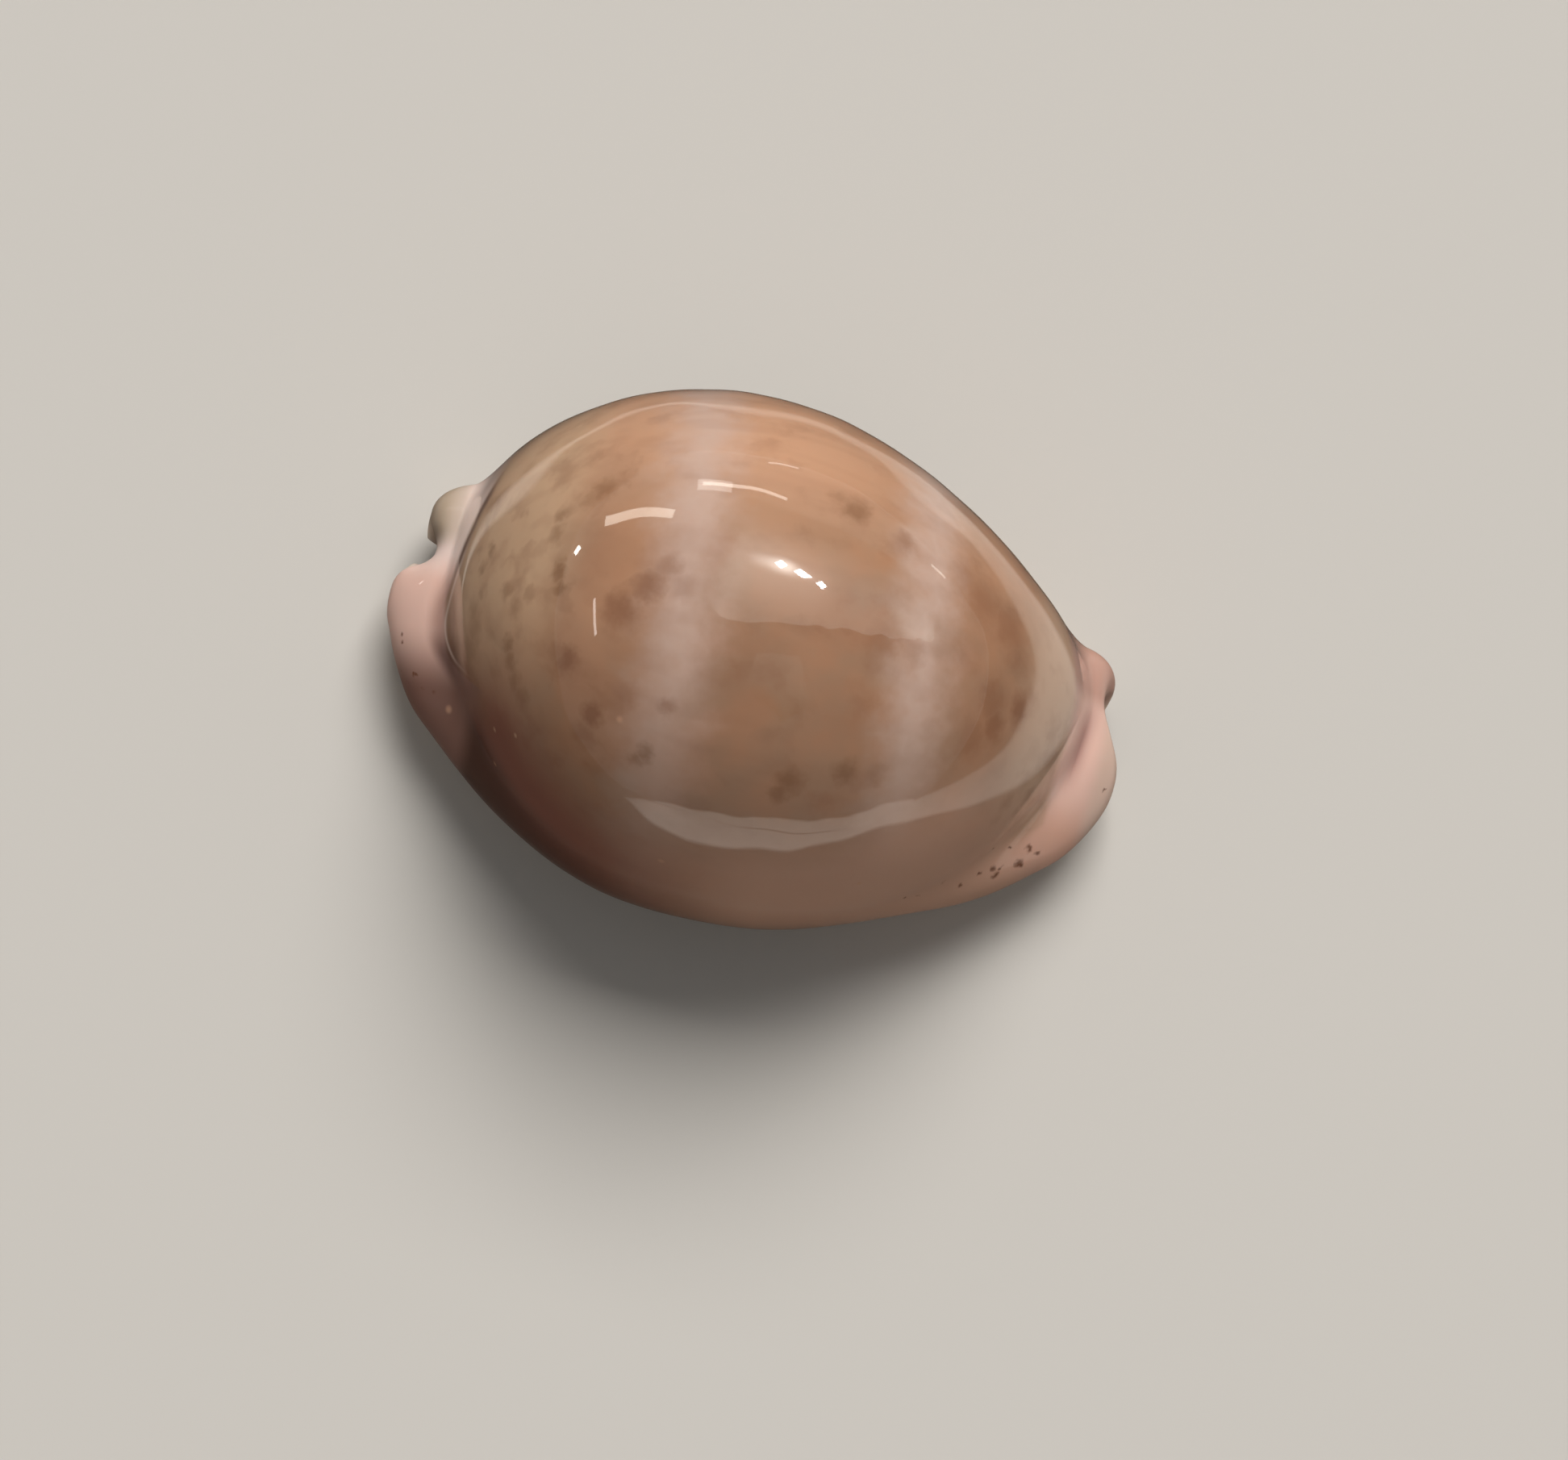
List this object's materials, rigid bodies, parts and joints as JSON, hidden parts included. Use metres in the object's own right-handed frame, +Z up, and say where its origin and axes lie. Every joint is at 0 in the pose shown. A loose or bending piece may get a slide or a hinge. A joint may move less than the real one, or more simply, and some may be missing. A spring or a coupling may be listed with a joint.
{
  "type": "atlantic gray cowrie",
  "caption": "Glossy egg-shaped sea shell with a domed back, flared lobes at both ends and a toothed slit along its base; lies on its base.",
  "frame": {"origin": "bottom centre of the shell's box, on the surface that the base rests on", "axes": "+X along the slit towards the front (anterior) end, -Y towards the outer lip's side, +Z up through the domed back"},
  "size_m": [0.028, 0.0192, 0.0151],
  "materials": {
    "shell": "polished"
  },
  "bodies": {
    "root": {"shell": "shell"}
  },
  "joints": []
}
